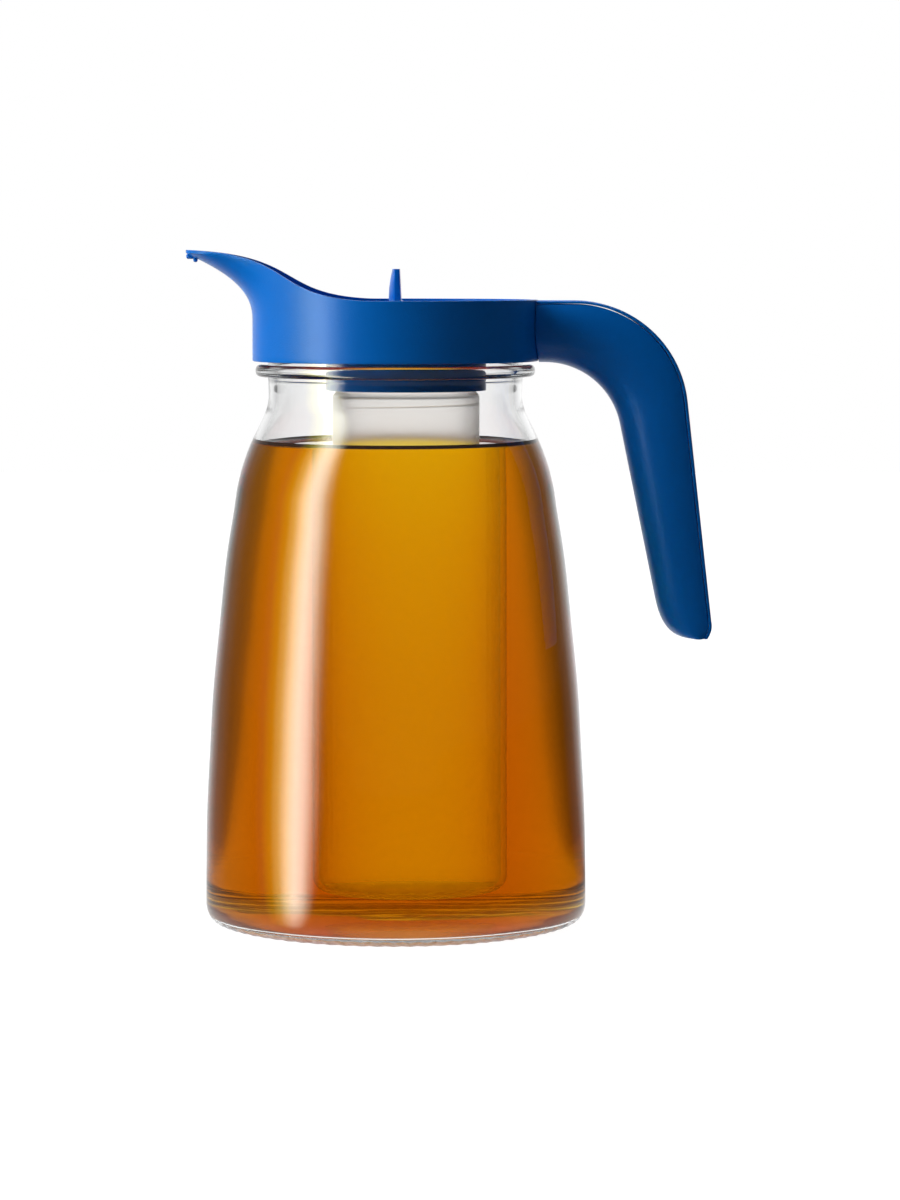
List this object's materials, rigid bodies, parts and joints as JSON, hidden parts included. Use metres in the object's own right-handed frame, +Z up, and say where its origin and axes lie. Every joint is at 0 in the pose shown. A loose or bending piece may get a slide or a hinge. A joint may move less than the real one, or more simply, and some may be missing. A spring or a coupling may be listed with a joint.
{
  "type": "carafe",
  "caption": "Clear glass carafe under a screw-on blue lid with a beak spout, a hinged pouring flap with a thumb tab, a free-ended handle and a hanging frosted cooling tube.",
  "frame": {"origin": "middle of the base on the plane it stands on; the underside's flat middle is recessed 0.4 mm above it", "axes": "+Z up along the jug's axis, -X towards the spout, +X towards the handle, both sides of the XZ plane alike"},
  "size_m": [0.1799, 0.1312, 0.2305],
  "materials": {
    "clear_glass": "clear, polished",
    "blue_plastic": "fine satin texture",
    "frosted_plastic": "frosted, translucent",
    "silicone": "soft, translucent white",
    "steel": "drawn wire"
  },
  "bodies": {
    "jug": {"glass_jug": "clear_glass"},
    "gasket": {"lid_gasket": "silicone"},
    "lid": {"lid_collar": "blue_plastic", "lid_deck": "blue_plastic", "handle_shell": "blue_plastic", "handle_back_cover": "blue_plastic", "flap_hinge_pin": "steel", "tube_seal": "silicone"},
    "flap": {"pour_flap": "blue_plastic", "flap_seal": "silicone"},
    "tube": {"cooling_tube": "frosted_plastic"}
  },
  "joints": [
    {"name": "lid_lift", "type": "slide", "parent": "jug", "child": "gasket", "axis": [0, 0, 1], "range_m": [0, 0.22]},
    {"name": "lid_turn", "type": "hinge", "parent": "gasket", "child": "lid", "pos_m": [0, 0, 0.2], "axis": [0, 0, 1], "range_deg": [-45, 0]},
    {"name": "flap_hinge", "type": "hinge", "parent": "lid", "child": "flap", "pos_m": [0.001, 0, 0.2112], "axis": [0, 1, 0], "range_deg": [0, 90]},
    {"name": "tube_turn", "type": "hinge", "parent": "lid", "child": "tube", "pos_m": [0.0036, 0, 0.19], "axis": [0, 0, 1], "range_deg": [-60, 0]}
  ]
}
